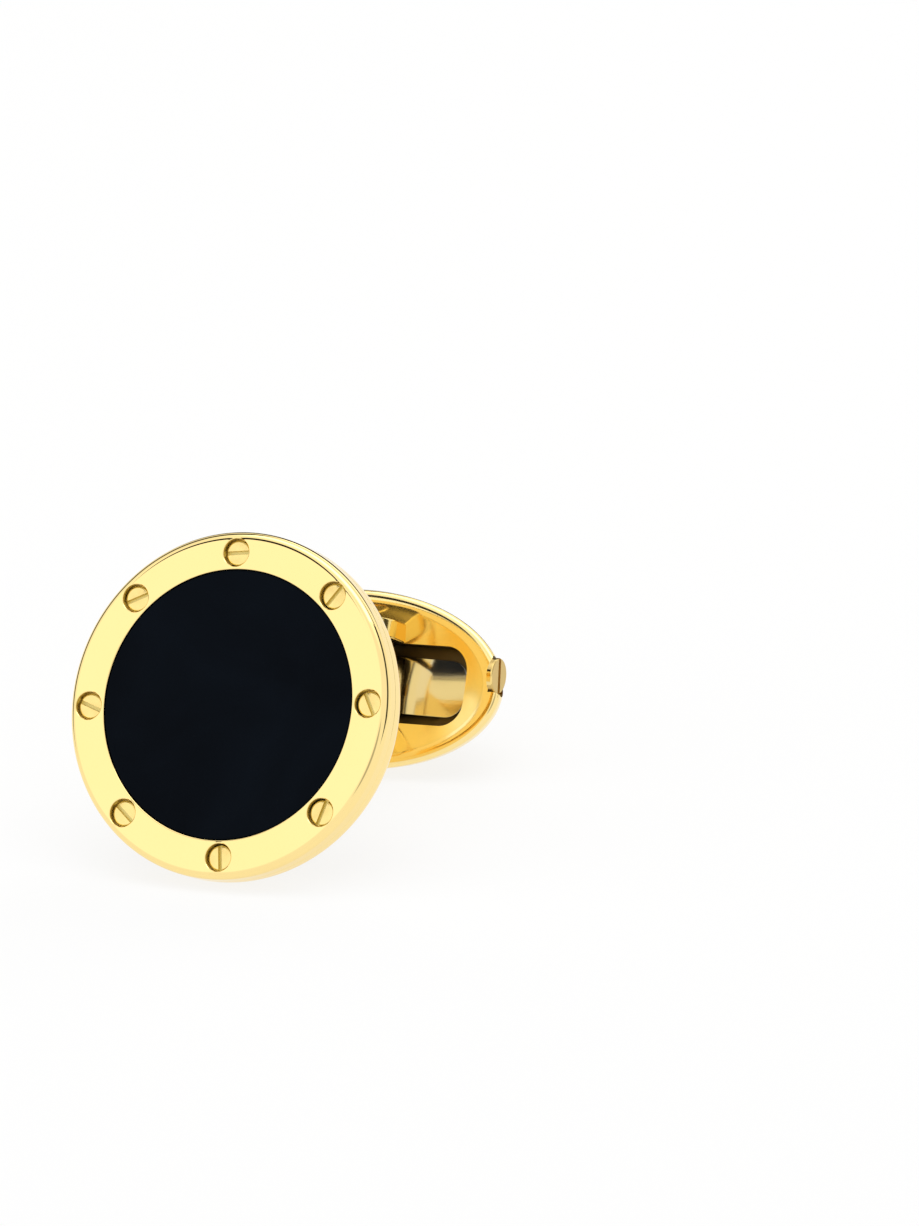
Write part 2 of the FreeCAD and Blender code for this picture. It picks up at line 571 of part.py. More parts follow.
def make_toggle_deck():
    body = new_body("toggle_deck")
    oval = new_sketch(body, "DeckOutline", "XY_Plane")
    ellipse(oval, f"({DECK_HALF_LENGTH} - Sizes.deck_gap)", f"({DECK_HALF_WIDTH} - Sizes.deck_gap)")
    extrude(body, "Deck", oval, "Sizes.deck_depth")
    cut_dish(body)
    for side, place in (("Upper", f"{SLOT_HALF_WIDTH}"), ("Lower", f"-{LUG_OUTSIDE}")):
        lug = new_sketch(body, f"{side}LugOutline", "XZ_Plane", ("0", "0", place))
        lug_outline(lug)
        extrude(body, f"{side}Lug", lug, "Sizes.lug_thickness")
    bore = new_sketch(body, "PinSketch", "XZ_Plane")
    circle(bore, "Sizes.pin_radius", "0", "-Sizes.pivot_height")
    extrude(body, "PinHole", bore, f"2 * {LUG_OUTSIDE} + Sizes.overrun", "Pocket", symmetric=True)
    slot = new_sketch(body, "SlotOutline", "XY_Plane")
    round_box(slot, SLOT_HALF_LENGTH, SLOT_HALF_WIDTH, "Sizes.slot_round")
    extrude(body, "Slot", slot, "Sizes.deck_depth + Sizes.overrun", "Pocket", backwards=True)
    thread_end = f"({END_SEAT} - Sizes.end_shank_length - Sizes.end_shank_gap)"
    for side, away in (("Left", "-"), ("Right", "")):
        hole = end_sketch(body, f"{side}TappingSketch", f"{away}{thread_end}")
        circle(hole, "Sizes.end_shank_radius")
        extrude(body, f"{side}Tapping", hole, "Sizes.end_shank_length", "Pocket", backwards=not away)
    return body


def lug_outline(sketch):
    # A base on the deck's underside, upright sides and a top with round corners over the pin.
    base, radius = number("Sizes.lug_half_length"), number("Sizes.lug_round")
    low, high = number("Sizes.deck_depth"), number(LUG_TOP)
    middle = Vector(base - radius, high + radius, 0)
    mirrored = Vector(-middle.x, middle.y, 0)
    down, out = Vector(0, -radius, 0), Vector(radius, 0, 0)
    right_ring = Part.Circle(middle, Vector(0, 0, 1), radius)
    left_ring = Part.Circle(mirrored, Vector(0, 0, 1), radius)
    foot = sketch.addGeometry(Part.LineSegment(Vector(-base, low, 0), Vector(base, low, 0)))
    right = sketch.addGeometry(Part.LineSegment(Vector(base, low, 0), middle + out))
    right_corner = sketch.addGeometry(Part.ArcOfCircle(right_ring, -math.pi / 2, 0))
    top = sketch.addGeometry(Part.LineSegment(middle + down, mirrored + down))
    left_corner = sketch.addGeometry(Part.ArcOfCircle(left_ring, math.pi, 3 * math.pi / 2))
    left = sketch.addGeometry(Part.LineSegment(mirrored - out, Vector(-base, low, 0)))
    tie(sketch, "Coincident", foot, END, right, START)
    tie(sketch, "Tangent", right, END, right_corner, END)
    tie(sketch, "Tangent", right_corner, START, top, START)
    tie(sketch, "Tangent", top, END, left_corner, END)
    tie(sketch, "Tangent", left_corner, START, left, START)
    tie(sketch, "Coincident", left, END, foot, START)
    tie(sketch, "Vertical", right)
    tie(sketch, "Vertical", left)
    tie(sketch, "Equal", right_corner, left_corner)
    bind(sketch, "Sizes.lug_round", "Radius", right_corner)
    bind(sketch, LUG_TOP, "DistanceY", ORIGIN, START, top, START)
    bind(sketch, "-Sizes.lug_half_length", "DistanceX", ORIGIN, START, foot, START)
    bind(sketch, "Sizes.lug_half_length", "DistanceX", ORIGIN, START, foot, END)
    bind(sketch, "Sizes.deck_depth", "DistanceY", ORIGIN, START, foot, START)
    bind(sketch, "Sizes.deck_depth", "DistanceY", ORIGIN, START, foot, END)


def make_pivot_pin():
    body = new_body("pivot_pin")
    end = new_sketch(body, "PinOutline", "XZ_Plane")
    circle(end, "Sizes.pin_radius", "0", "-Sizes.pivot_height")
    extrude(body, "Pin", end, f"2 * {LUG_OUTSIDE}", symmetric=True)
    dress(body, "PinBevel", "Chamfer", "Sizes.pin_bevel", lambda edge: isinstance(edge.Curve, Part.Circle))
    return body


def make_leaf_spring():
    body = new_body("leaf_spring")
    outline = new_sketch(body, "SpringOutline", "XY_Plane", ("0", "0", SPRING_TOP))
    round_box(outline, SPRING_HALF_LENGTH, "Sizes.spring_half_width", "Sizes.spring_round")
    extrude(body, "Spring", outline, "Sizes.spring_depth")
    return body


def make_end_screw(label):
    # Drawn with its head's underside at z = 0 and its shank down -z.
    body = new_body(label)
    section = new_sketch(body, "EndScrewSection", "XZ_Plane")
    polygon(section, (
        ("0", "-Sizes.end_shank_length"),
        ("Sizes.end_shank_radius", "-Sizes.end_shank_length"),
        ("Sizes.end_shank_radius", "0"),
        ("Sizes.end_head_radius", "0"),
        ("Sizes.end_head_radius", "Sizes.end_head_depth"),
        ("0", "Sizes.end_head_depth"),
    ))
    revolve(body, "EndScrewTurning", section)
    head_edge = on_ring("Sizes.end_head_radius", "Sizes.end_head_depth")
    dress(body, "EndScrewBevel", "Chamfer", "Sizes.end_head_bevel", head_edge)
    slot = new_sketch(body, "SlotSketch", "XY_Plane", ("0", "0", "Sizes.end_head_depth"))
    cut_slot(body, slot, "Sizes.end_head_radius", "Sizes.end_slot_width", "Sizes.end_slot_depth",
             backwards=False)
    return body


# Placing

def lean_angle():
    # The table touches the round of the case's back edge and the round of the
    # toggle's hull: the common tangent of two circles in the plane x = 0.
    head_round, hull_round = number("Sizes.back_round"), number("Sizes.toggle_half_width")
    across = head_round - number("Sizes.head_radius + Sizes.toggle_crank")
    along = head_round + number(f"Sizes.toggle_reach - {HEAD_DEPTH}")
    apart = math.hypot(across, along)
    return math.degrees(math.atan2(along, across) - math.acos((head_round - hull_round) / apart))


def turned(axis, degrees):
    return Placement(Vector(), Rotation(axis, degrees))


def moved(x, y, z):
    return Placement(Vector(x, y, z), Rotation())


def make_head(across, upright):
    # Bench places of the head's pieces, keyed by the piece.
    ring_turn = turned(upright, number("Sizes.screw_turn"))
    places = {
        make_case_back(): ring_turn,
        make_onyx_bed(): Placement(),
        make_onyx_disc(): Placement(),
        make_bezel_ring(): ring_turn,
        make_post_collar(): Placement(),
        make_swan_neck_post(): Placement(),
    }
    count = int(number("Sizes.screw_count"))
    for place in range(count):
        clock = number("Sizes.screw_turn") - 90 + 360 * place / count
        slot = SLOT_TURNS[place % len(SLOT_TURNS)]
        out = moved(number(SCREW_CIRCLE), 0, 0)
        screw = make_bezel_screw(f"bezel_screw_{place + 1}")
        places[screw] = turned(upright, clock) * out * turned(upright, slot - clock)
    return places


def make_toggle(across, upright):
    seat = moved(0, -number("Sizes.toggle_crank"), number("Sizes.toggle_reach"))
    places = {
        make_toggle_shell(): seat,
        make_toggle_deck(): seat,
        make_leaf_spring(): seat,
        make_pivot_pin(): seat,
    }
    for label, side in (("end_screw_left", -1), ("end_screw_right", 1)):
        tip = moved(side * number(END_SEAT), -number("Sizes.end_lift"), number("Sizes.end_drop"))
        outward = turned(across, side * 90) * turned(upright, 90 + number("Sizes.end_slot_turn"))
        places[make_end_screw(label)] = seat * tip * outward
    return places


def lay_down(places):
    # Turn from the bench to the table, then stand the box's bottom middle on the origin.
    table = turned(Vector(1, 0, 0), -90 - lean_angle())
    for piece, place in places.items():
        piece.Placement = table * place
    doc.recompute()
    box = FreeCAD.BoundBox()
    for piece in places:
        box.add(piece.Shape.optimalBoundingBox(False))
    drop = moved(-box.Center.x, -box.Center.y, -box.ZMin)
    for piece, place in places.items():
        piece.Placement = drop * table * place
    doc.recompute()


def write(pieces):
    for item in doc.Objects:
        if "Invalid" in item.State or "Error" in item.State:
            raise RuntimeError(f"{item.Label} failed: {item.State}")
    for piece in pieces:
        if piece.Shape.isNull() or not piece.Shape.isValid() or len(piece.Shape.Solids) != 1:
            raise RuntimeError(f"{piece.Label} is not one valid solid")
    os.makedirs("parts", exist_ok=True)
    for piece in pieces:
        piece.Shape.exportStep(f"parts/{piece.Label}.step")
        print(f"{piece.Label}: {piece.Shape.Volume:.4f} mm3")


ACROSS, UPRIGHT = Vector(0, 1, 0), Vector(0, 0, 1)
cufflink = {**make_head(ACROSS, UPRIGHT), **make_toggle(ACROSS, UPRIGHT)}
lay_down(cufflink)
write(cufflink)
print(f"leans back {lean_angle():.3f} degrees")
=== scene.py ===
import json
import math

import bmesh
import bpy
from mathutils import Matrix, Vector


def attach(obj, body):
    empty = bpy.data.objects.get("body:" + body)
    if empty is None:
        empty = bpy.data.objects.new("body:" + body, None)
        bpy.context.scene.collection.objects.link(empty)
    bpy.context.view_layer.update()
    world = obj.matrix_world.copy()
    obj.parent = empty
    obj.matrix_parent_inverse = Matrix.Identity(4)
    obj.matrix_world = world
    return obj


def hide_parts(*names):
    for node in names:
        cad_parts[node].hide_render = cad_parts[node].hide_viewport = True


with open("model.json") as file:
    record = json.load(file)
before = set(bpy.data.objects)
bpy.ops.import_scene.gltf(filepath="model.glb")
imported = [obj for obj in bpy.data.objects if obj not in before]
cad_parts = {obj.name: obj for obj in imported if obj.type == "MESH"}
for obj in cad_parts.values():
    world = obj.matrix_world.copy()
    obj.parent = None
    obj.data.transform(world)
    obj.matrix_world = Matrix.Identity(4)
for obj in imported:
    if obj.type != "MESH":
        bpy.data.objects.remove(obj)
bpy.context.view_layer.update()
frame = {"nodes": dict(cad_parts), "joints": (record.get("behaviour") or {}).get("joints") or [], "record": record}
scene = bpy.context.scene

# Pieces are modelled in millimetres, face down on a bench as in the CAD source:
# z = 0 is the bezel's front, +z runs back to the toggle, +y is six o'clock.
# A round, bevel or corner is given as its size and its number of segments.
layout = {"crank": 3.43, "pivot": 12.83, "toggleRim": 13.83}
flip = frame["joints"][0]
faceMount = next(item for item in frame["record"]["mounts"] if item["name"] == "face_front")
rightWay = Vector((1, 0, 0))
upWay = Vector(flip["axis"])
outWay = Vector(faceMount["axis"])
millimetre = 0.001
pivotOnBench = Vector((0, -layout["crank"], layout["pivot"]))
benchTurn = Matrix((rightWay, -upWay, -outWay)).transposed().to_4x4()
benchScale = Matrix.Scale(millimetre, 4)
benchShift = Matrix.Translation(Vector(flip["pos_m"]) - benchTurn @ (pivotOnBench * millimetre))
bench = benchShift @ benchTurn @ benchScale
toggleSeat = bench @ Matrix.Translation((0, -layout["crank"], layout["toggleRim"]))


def about(axis, degrees):
    return Matrix.Rotation(math.radians(degrees), 4, axis)


# Mesh helpers, in millimetres and degrees
meshing = {
    "weld": 1e-5, "lastWeld": 2e-5, "sameSpot": 1e-4, "toolReach": 4,
    "bevelAngle": 40, "hardAngle": 32, "flatWeight": 80,
}


def spinRound(bm, geom, steps):
    bmesh.ops.spin(bm, geom=geom, cent=(0, 0, 0), axis=(0, 0, 1), dvec=(0, 0, 0),
                   angle=math.tau, steps=steps, use_merge=True, use_duplicate=False)
    bmesh.ops.remove_doubles(bm, verts=bm.verts, dist=meshing["weld"])


def lathe(profile, steps, closed=True):
    # turn a profile of radii and levels; one that isn't closed starts and ends on the axis
    bm = bmesh.new()
    verts = [bm.verts.new((radius, 0, level)) for radius, level in profile]
    ends = verts[1:] + verts[:1] if closed else verts[1:]
    edges = [bm.edges.new(pair) for pair in zip(verts, ends)]
    spinRound(bm, verts + edges, steps)
    bmesh.ops.recalc_face_normals(bm, faces=bm.faces)
    return bm


def roundEdges(bm, edges, width, segments):
    bmesh.ops.bevel(bm, geom=edges, offset=width, offset_type="OFFSET", segments=segments,
                    profile=0.5, affect="EDGES", material=-1, clamp_overlap=True)


def roundCorners(bm, corners, radius, segments):
    bmesh.ops.bevel(bm, geom=corners, offset=radius, offset_type="OFFSET", segments=segments,
                    profile=0.5, affect="VERTICES", material=-1)


def ringEdges(bm, radius, level):
    # edges of the turned circle of this radius at this height
    def onRing(vert):
        offRadius, offLevel = abs(vert.co.xy.length - radius), abs(vert.co.z - level)
        return max(offRadius, offLevel) < meshing["sameSpot"]
    return [edge for edge in bm.edges if all(onRing(vert) for vert in edge.verts)]


def sharpEdges(bm):
    limit = math.radians(meshing["bevelAngle"])
    return [edge for edge in bm.edges if edge.is_manifold and edge.calc_face_angle(0) > limit]


def vertsAndEdges(geometry):
    verts = [item for item in geometry if isinstance(item, bmesh.types.BMVert)]
    edges = [item for item in geometry if isinstance(item, bmesh.types.BMEdge)]
    return verts, edges


def pullEdges(bm, edges):
    # extrude a loop of edges, and give the new loop, still in its old place
    return vertsAndEdges(bmesh.ops.extrude_edge_only(bm, edges=edges)["geom"])


def cutPlane(bm, spot, way, dropOuter=False):
    bmesh.ops.bisect_plane(bm, geom=bm.verts[:] + bm.edges[:] + bm.faces[:], dist=meshing["weld"],
                           plane_co=spot, plane_no=way, clear_outer=dropOuter)


def rectangle(halfLength, halfWidth):
    bm = bmesh.new()
    bmesh.ops.create_grid(bm, x_segments=1, y_segments=1, size=1)
    bmesh.ops.scale(bm, vec=(halfLength, halfWidth, 1), verts=bm.verts)
    return bm


def thicken(bm, height):
    raised = bmesh.ops.extrude_face_region(bm, geom=bm.faces[:], use_keep_orig=True)
    tops = vertsAndEdges(raised["geom"])[0]
    bmesh.ops.translate(bm, vec=(0, 0, height), verts=tops)


def roundPlate(halfLength, halfWidth, corner, low, high):
    bm = rectangle(halfLength, halfWidth)
    roundCorners(bm, bm.verts[:], *corner)
    bmesh.ops.translate(bm, vec=(0, 0, low), verts=bm.verts)
    thicken(bm, high - low)
    bmesh.ops.recalc_face_normals(bm, faces=bm.faces)
    return bm


def rod(radius, low, high, steps):
    bm = bmesh.new()
    bmesh.ops.create_cone(bm, cap_ends=True, segments=steps, radius1=radius, radius2=radius,
                          depth=high - low)
    bmesh.ops.translate(bm, vec=(0, 0, (low + high) / 2), verts=bm.verts)
    return bm


def block(low, high):
    low, high = Vector(low), Vector(high)
    bm = bmesh.new()
    bmesh.ops.create_cube(bm, size=1)
    bmesh.ops.scale(bm, vec=high - low, verts=bm.verts)
    bmesh.ops.translate(bm, vec=(low + high) / 2, verts=bm.verts)
    return bm


def newPiece(name, bm):
    mesh = bpy.data.meshes.new(name)
    bm.to_mesh(mesh)
    bm.free()
    piece = bpy.data.objects.new(name, mesh)
    scene.collection.objects.link(piece)
    return piece


def applyModifiers(piece):
    shaped = piece.evaluated_get(bpy.context.evaluated_depsgraph_get())
    rough = piece.data
    piece.data = bpy.data.meshes.new_from_object(shaped)
    piece.modifiers.clear()
    bpy.data.meshes.remove(rough)


def carve(piece, tool, operation="DIFFERENCE", lie=Matrix()):
    # cut the tool out of the piece, or join it on, and drop the tool
    bmesh.ops.transform(tool, matrix=lie, verts=tool.verts)
    cutter = newPiece("carvingTool", tool)
    step = piece.modifiers.new("carving", "BOOLEAN")
    step.operation = operation
    step.solver = "EXACT"
    step.object = cutter
    applyModifiers(piece)
    bpy.data.objects.remove(cutter)


recessTest = {"flat": 0.98, "wall": 0.3, "slack": 0.02}  # cosines with the axis, and millimetres


def markShadedRecesses(piece, sunken):
    # 1 on the sunken faces, which are made rougher and darkened with painted shade
    marks = piece.data.attributes.new("recess", "FLOAT", "FACE")
    for face in piece.data.polygons:
        marks.data[face.index].value = 1 if sunken(face.center, face.normal) else 0


def finishPiece(piece, matrix, material, body, slotName, *nodes):
    bm = bmesh.new()
    bm.from_mesh(piece.data)
    bmesh.ops.remove_doubles(bm, verts=bm.verts, dist=meshing["lastWeld"])
    bmesh.ops.recalc_face_normals(bm, faces=bm.faces)
    bm.to_mesh(piece.data)
    bm.free()
    piece.data.shade_smooth()
    piece.data.set_sharp_from_angle(angle=math.radians(meshing["hardAngle"]))
    # flats stay flat beside their bevels; applied here because faces in metres are too small for it
    flats = piece.modifiers.new("flatFaces", "WEIGHTED_NORMAL")
    flats.keep_sharp = True
    flats.weight = meshing["flatWeight"]
    applyModifiers(piece)
    piece.data.name = piece.name
    piece.data.transform(matrix)
    piece.data.materials.clear()
    piece.data.materials.append(material)
    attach(piece, body)
    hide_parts(*nodes)


# Materials: depths are in metres and pattern scales per metre
def newMaterial(name):
    material = bpy.data.materials.new(name)
    material.use_nodes = True
    return material, material.node_tree, material.node_tree.nodes["Principled BSDF"]


polish = {
    "hazeDetail": 4, "hazeSpan": (0.3, 0.75), "recessRoughness": 0.4,
    "hairlineDetail": 3, "hairlineStretch": (1, 0.06, 0.06), "hairlineDepth": 2e-6,
}


def makePolishAndShadeGroup():
    # handling marks of polished metal: soft haze, hairlines and a slow drift of tint; sunken faces get more
    # roughness and a painted shade tint
    group = bpy.data.node_groups.new("polishMarksAndShade", "ShaderNodeTree")
    for name in ("Tint", "Deep Tint", "Recess Shade Tint"):
        group.interface.new_socket(name, in_out="INPUT", socket_type="NodeSocketColor")
    for name in ("Recess", "Haze Scale", "Hairline Scale", "Smoothest", "Roughest"):
        group.interface.new_socket(name, in_out="INPUT", socket_type="NodeSocketFloat")
    group.interface.new_socket("Color", in_out="OUTPUT", socket_type="NodeSocketColor")
    for name in ("Roughness", "Height"):
        group.interface.new_socket(name, in_out="OUTPUT", socket_type="NodeSocketFloat")
    nodes, links = group.nodes, group.links
    inside = nodes.new("NodeGroupInput")
    outside = nodes.new("NodeGroupOutput")
    place = nodes.new("ShaderNodeTexCoord")
    haze = nodes.new("ShaderNodeTexNoise")
    haze.inputs["Detail"].default_value = polish["hazeDetail"]
    stretch = nodes.new("ShaderNodeMapping")
    stretch.inputs["Scale"].default_value = polish["hairlineStretch"]
    hairline = nodes.new("ShaderNodeTexNoise")
    hairline.inputs["Detail"].default_value = polish["hairlineDetail"]
    hazeRange = nodes.new("ShaderNodeMapRange")
    hazeLow, hazeHigh = polish["hazeSpan"]
    hazeRange.inputs["From Min"].default_value = hazeLow
    hazeRange.inputs["From Max"].default_value = hazeHigh
    tint = nodes.new("ShaderNodeMix")
    tint.data_type = "RGBA"
    sunkShade = nodes.new("ShaderNodeMix")
    sunkShade.data_type = "RGBA"
    sunkRough = nodes.new("ShaderNodeMix")
    sunkRough.inputs["B"].default_value = polish["recessRoughness"]
    links.new(place.outputs["Object"], haze.inputs["Vector"])
    links.new(place.outputs["Object"], stretch.inputs["Vector"])
    links.new(stretch.outputs["Vector"], hairline.inputs["Vector"])
    links.new(inside.outputs["Haze Scale"], haze.inputs["Scale"])
    links.new(inside.outputs["Hairline Scale"], hairline.inputs["Scale"])
    links.new(haze.outputs["Fac"], hazeRange.inputs["Value"])
    links.new(inside.outputs["Smoothest"], hazeRange.inputs["To Min"])
    links.new(inside.outputs["Roughest"], hazeRange.inputs["To Max"])
    links.new(haze.outputs["Fac"], tint.inputs["Factor"])
    links.new(inside.outputs["Tint"], tint.inputs["A"])
    links.new(inside.outputs["Deep Tint"], tint.inputs["B"])
    links.new(inside.outputs["Recess"], sunkShade.inputs["Factor"])
    links.new(tint.outputs["Result"], sunkShade.inputs["A"])
    links.new(inside.outputs["Recess Shade Tint"], sunkShade.inputs["B"])
    links.new(inside.outputs["Recess"], sunkRough.inputs["Factor"])
    links.new(hazeRange.outputs["Result"], sunkRough.inputs["A"])
    links.new(sunkShade.outputs["Result"], outside.inputs["Color"])
    links.new(sunkRough.outputs["Result"], outside.inputs["Roughness"])
    links.new(hairline.outputs["Fac"], outside.inputs["Height"])
    return group


polishMarksAndShade = makePolishAndShadeGroup()


def makeMetal(name, finish):
    material, tree, shader = newMaterial(name)
    marks = tree.nodes.new("ShaderNodeGroup")
    marks.node_tree = polishMarksAndShade
    marks.inputs["Tint"].default_value = (*finish["tint"], 1)
    marks.inputs["Deep Tint"].default_value = (*finish["deepTint"], 1)
    marks.inputs["Recess Shade Tint"].default_value = (*finish["recessShadeTint"], 1)
    marks.inputs["Haze Scale"].default_value = finish["hazeScale"]
    marks.inputs["Hairline Scale"].default_value = finish["hairlineScale"]
    marks.inputs["Smoothest"].default_value = finish["smoothest"]
    marks.inputs["Roughest"].default_value = finish["roughest"]
    recess = tree.nodes.new("ShaderNodeAttribute")
    recess.attribute_name = "recess"
    bump = tree.nodes.new("ShaderNodeBump")
    bump.inputs["Strength"].default_value = finish["hairlines"]
    bump.inputs["Distance"].default_value = polish["hairlineDepth"]
    shader.inputs["Metallic"].default_value = 1
    tree.links.new(recess.outputs["Fac"], marks.inputs["Recess"])
    tree.links.new(marks.outputs["Color"], shader.inputs["Base Color"])
    tree.links.new(marks.outputs["Roughness"], shader.inputs["Roughness"])
    tree.links.new(marks.outputs["Height"], bump.inputs["Height"])
    tree.links.new(bump.outputs["Normal"], shader.inputs["Normal"])
    return material


# the recess tint is painted shade: a browner gold on the walls of the bezel's screw bores
goldFinish = {
    "tint": (1.0, 0.79, 0.35), "deepTint": (1.0, 0.765, 0.315), "hazeScale": 260, "hairlineScale": 3000,
    "smoothest": 0.02, "roughest": 0.07, "hairlines": 0.06, "recessShadeTint": (0.8, 0.65, 0.24),
}
# the shell's recess tint, nearly black, is painted shade inside the hull and, through the deck's finish, on the
# slot's walls
shellFinish = {**goldFinish, "smoothest": 0.08, "roughest": 0.15, "recessShadeTint": (0.11, 0.08, 0.04)}
# the deck's gold is tinted darker and more orange than the shell's: painted reflection of the gold head in its
# dish; its roughness is a real satin finish
deckFinish = {
    **shellFinish, "tint": (0.96, 0.73, 0.27), "deepTint": (0.94, 0.69, 0.22),
    "smoothest": 0.1, "roughest": 0.17, "hazeScale": 700,
}
# the screws' gold, also used on the pin, is a darker copy of the bezel's: painted shade from the bores the screws
# sit in; their recess tint is painted shade too
screwFinish = {
    "tint": (0.98, 0.76, 0.31), "deepTint": (0.9, 0.64, 0.22), "hazeScale": 1400, "hairlineScale": 4200,
    "smoothest": 0.06, "roughest": 0.2, "hairlines": 0.2, "recessShadeTint": (0.8, 0.65, 0.24),
}
# the end screws' recess tint is darker still: painted shade over their whole top
tipFinish = {**screwFinish, "recessShadeTint": (0.72, 0.52, 0.19)}
springFinish = {
    "tint": (0.86, 0.84, 0.79), "deepTint": (0.8, 0.77, 0.7), "hazeScale": 500, "hairlineScale": 5200,
    "smoothest": 0.08, "roughest": 0.12, "hairlines": 0.05, "recessShadeTint": (0.5, 0.45, 0.38),
}
polishedGold = makeMetal("polishedGold", goldFinish)
screwGold = makeMetal("screwGold", screwFinish)
tipGold = makeMetal("tipGold", tipFinish)
shellGold = makeMetal("shellGold", shellFinish)
satinGoldWithReflection = makeMetal("satinGoldWithReflection", deckFinish)
springSteel = makeMetal("springSteel", springFinish)

stoneFinish = {
    "dark": (0.0014, 0.0024, 0.0044), "pale": (0.0024, 0.0042, 0.0074), "span": (0.35, 0.72),
    "scale": 170, "detail": 5, "distortion": 0.8, "specular": 0.024, "smoothest": 0.05, "roughest": 0.14,
}


def makeStone():
    material, tree, shader = newMaterial("blackOnyx")
    place = tree.nodes.new("ShaderNodeTexCoord")
    clouds = tree.nodes.new("ShaderNodeTexNoise")
    clouds.inputs["Scale"].default_value = stoneFinish["scale"]
    clouds.inputs["Detail"].default_value = stoneFinish["detail"]
    clouds.inputs["Distortion"].default_value = stoneFinish["distortion"]
    ramp = tree.nodes.new("ShaderNodeValToRGB")
    darkStop, paleStop = ramp.color_ramp.elements
    darkStop.position, paleStop.position = stoneFinish["span"]
    darkStop.color = (*stoneFinish["dark"], 1)
    paleStop.color = (*stoneFinish["pale"], 1)
    sheen = tree.nodes.new("ShaderNodeMapRange")
    sheen.inputs["To Min"].default_value = stoneFinish["smoothest"]
    sheen.inputs["To Max"].default_value = stoneFinish["roughest"]
    shader.inputs["Specular IOR Level"].default_value = stoneFinish["specular"]
    tree.links.new(place.outputs["Object"], clouds.inputs["Vector"])
    tree.links.new(clouds.outputs["Fac"], ramp.inputs["Fac"])
    tree.links.new(clouds.outputs["Fac"], sheen.inputs["Value"])
    tree.links.new(ramp.outputs["Color"], shader.inputs["Base Color"])
    tree.links.new(sheen.outputs["Result"], shader.inputs["Roughness"])
    return material


cementFinish = {
    "dark": (0.12, 0.115, 0.11), "pale": (0.26, 0.25, 0.24), "scale": 900, "depth": 2e-5, "roughness": 0.8,
}


def makeCement():
    material, tree, shader = newMaterial("settingCement")
    place = tree.nodes.new("ShaderNodeTexCoord")
    grains = tree.nodes.new("ShaderNodeTexNoise")
    grains.inputs["Scale"].default_value = cementFinish["scale"]
    ramp = tree.nodes.new("ShaderNodeValToRGB")
    darkStop, paleStop = ramp.color_ramp.elements
    darkStop.color = (*cementFinish["dark"], 1)
    paleStop.color = (*cementFinish["pale"], 1)
    bump = tree.nodes.new("ShaderNodeBump")
    bump.inputs["Distance"].default_value = cementFinish["depth"]
    shader.inputs["Roughness"].default_value = cementFinish["roughness"]
    tree.links.new(place.outputs["Object"], grains.inputs["Vector"])
    tree.links.new(grains.outputs["Fac"], ramp.inputs["Fac"])
    tree.links.new(ramp.outputs["Color"], shader.inputs["Base Color"])
    tree.links.new(grains.outputs["Fac"], bump.inputs["Height"])
    tree.links.new(bump.outputs["Normal"], shader.inputs["Normal"])
    return material


blackOnyx = makeStone()
settingCement = makeCement()
print("materials made")

# Head
head = {
    "radius": 8.5, "bezelDepth": 0.95, "backDepth": 2.4, "window": 6.62, "lip": 0.45, "pocket": 6.95,
    "floor": 1.65, "spigot": 1.1, "steps": 256,
    "frontRound": (0.42, 10), "backRound": (1.1, 16), "seamBevel": (0.035, 3), "windowBevel": (0.06, 3),
}


def makeBezelRing():
    bm = lathe([(head["window"], 0), (head["radius"], 0), (head["radius"], head["bezelDepth"]),
                (head["pocket"], head["bezelDepth"]), (head["pocket"], head["lip"]),
                (head["window"], head["lip"])], head["steps"])
    roundEdges(bm, ringEdges(bm, head["radius"], 0), *head["frontRound"])
    roundEdges(bm, ringEdges(bm, head["window"], 0), *head["windowBevel"])
    roundEdges(bm, ringEdges(bm, head["radius"], head["bezelDepth"]), *head["seamBevel"])
    ring = newPiece("bezelRing", bm)
    bore, mouth = screw["boreRadius"], screw["boreMouth"]
    for place in range(screw["count"]):
        tool = lathe([(0, -mouth), (bore + screw["boreBevel"] + mouth, -mouth), (bore, screw["boreBevel"]),
                      (bore, screw["under"]), (0, screw["under"])], screw["steps"], closed=False)
        carve(ring, tool, lie=Matrix.Translation(screwSpot(place)))
    # painted shade on the walls of the screw bores
    markShadedRecesses(ring, inScrewBore)
    finishPiece(ring, bench, polishedGold, "head", "gold", "bezel_ring")


def inScrewBore(spot, way):
    offCircle = abs(spot.xy.length - screw["circle"])
    return abs(way.z) < recessTest["wall"] and offCircle < screw["boreRadius"] + recessTest["slack"]


# clocks and turns are in degrees, with twelve o'clock at -90; the bores' tool flares out to its mouth
screw = {
    "count": 8, "circle": 7.45, "firstClock": -94.8, "radius": 0.63, "recess": 0.25, "under": 0.6,
    "shank": 0.35, "end": 1.7, "bevel": (0.1, 4), "slotWidth": 0.2, "slotDepth": 0.17, "steps": 64,
    "slotTurns": (-7, -55, 60, -75, 81, 39, 18, -26),
    "boreRadius": 0.69, "boreBevel": 0.03, "boreMouth": 0.4,
}


def screwSpot(place):
    clock = math.radians(screw["firstClock"] + 360 * place / screw["count"])
    return Vector((math.cos(clock), math.sin(clock), 0)) * screw["circle"]


def offScrewTop(spot, way):
    # all but the flat top, which is towards -z here
    return way.z > -recessTest["flat"] or spot.z > screw["recess"] + recessTest["slack"]


